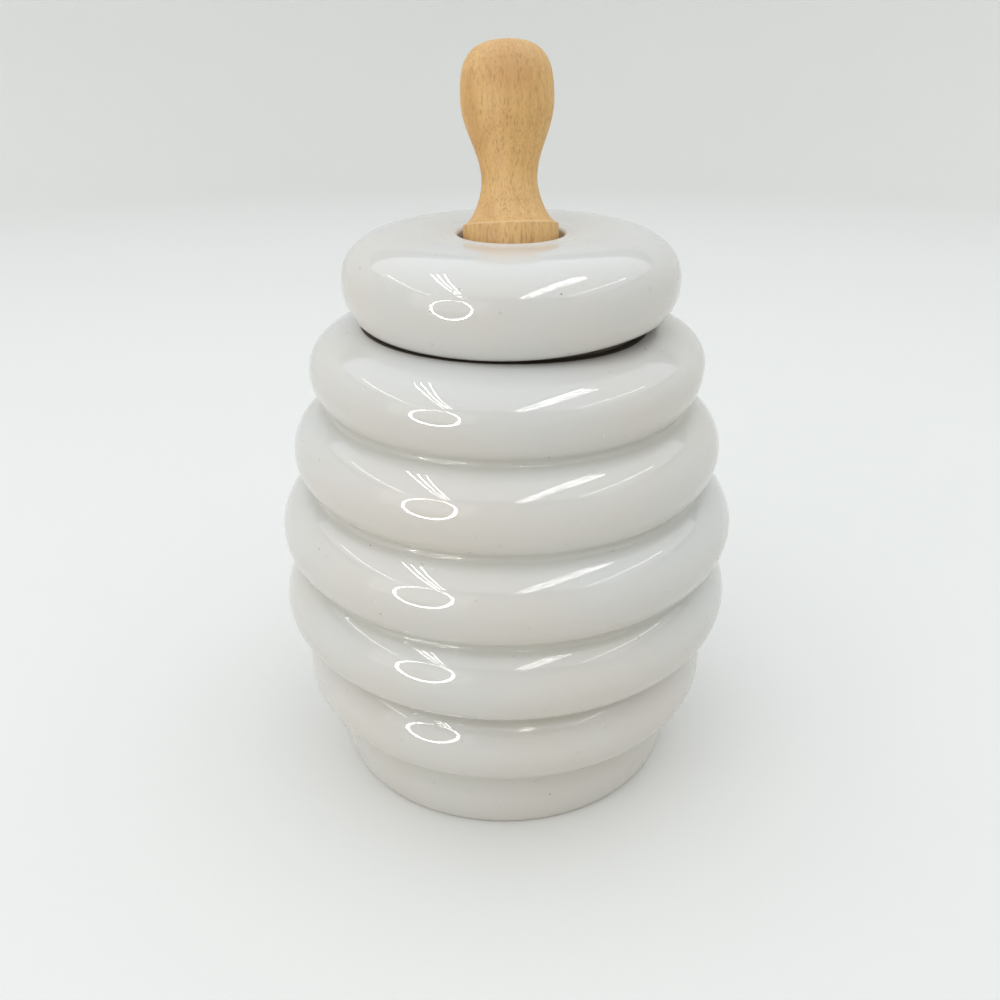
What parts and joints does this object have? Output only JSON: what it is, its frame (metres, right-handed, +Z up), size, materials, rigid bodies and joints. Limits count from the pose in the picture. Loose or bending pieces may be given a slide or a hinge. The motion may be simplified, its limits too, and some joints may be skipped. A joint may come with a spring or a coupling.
{
  "type": "honey pot with lid and dipper",
  "caption": "Beehive-shaped white ceramic honey pot with a loose ring-shaped lid and a turned wooden dipper standing in the lid's hole.",
  "frame": {"origin": "centre of the pot's foot ring, on the surface that it stands on", "axes": "+Z up along the pot's axis; +Y to the back, the way the dipper's top leans; +X to the right"},
  "size_m": [0.1006, 0.1006, 0.156],
  "materials": {
    "pot_glaze": "gloss",
    "lid_glaze": "gloss",
    "dipper_wood": "raw"
  },
  "bodies": {
    "pot": {"pot": "pot_glaze"},
    "lid": {"lid": "lid_glaze"},
    "dipper": {"dipper": "dipper_wood"}
  },
  "joints": [
    {"name": "lid_lift", "type": "slide", "parent": "pot", "child": "lid", "axis": [-0.0255, 0.2335, 0.972], "range_m": [0, 0.07]},
    {"name": "dipper_lift", "type": "slide", "parent": "pot", "child": "dipper", "axis": [-0.0255, 0.2335, 0.972], "range_m": [0, 0.13]}
  ]
}
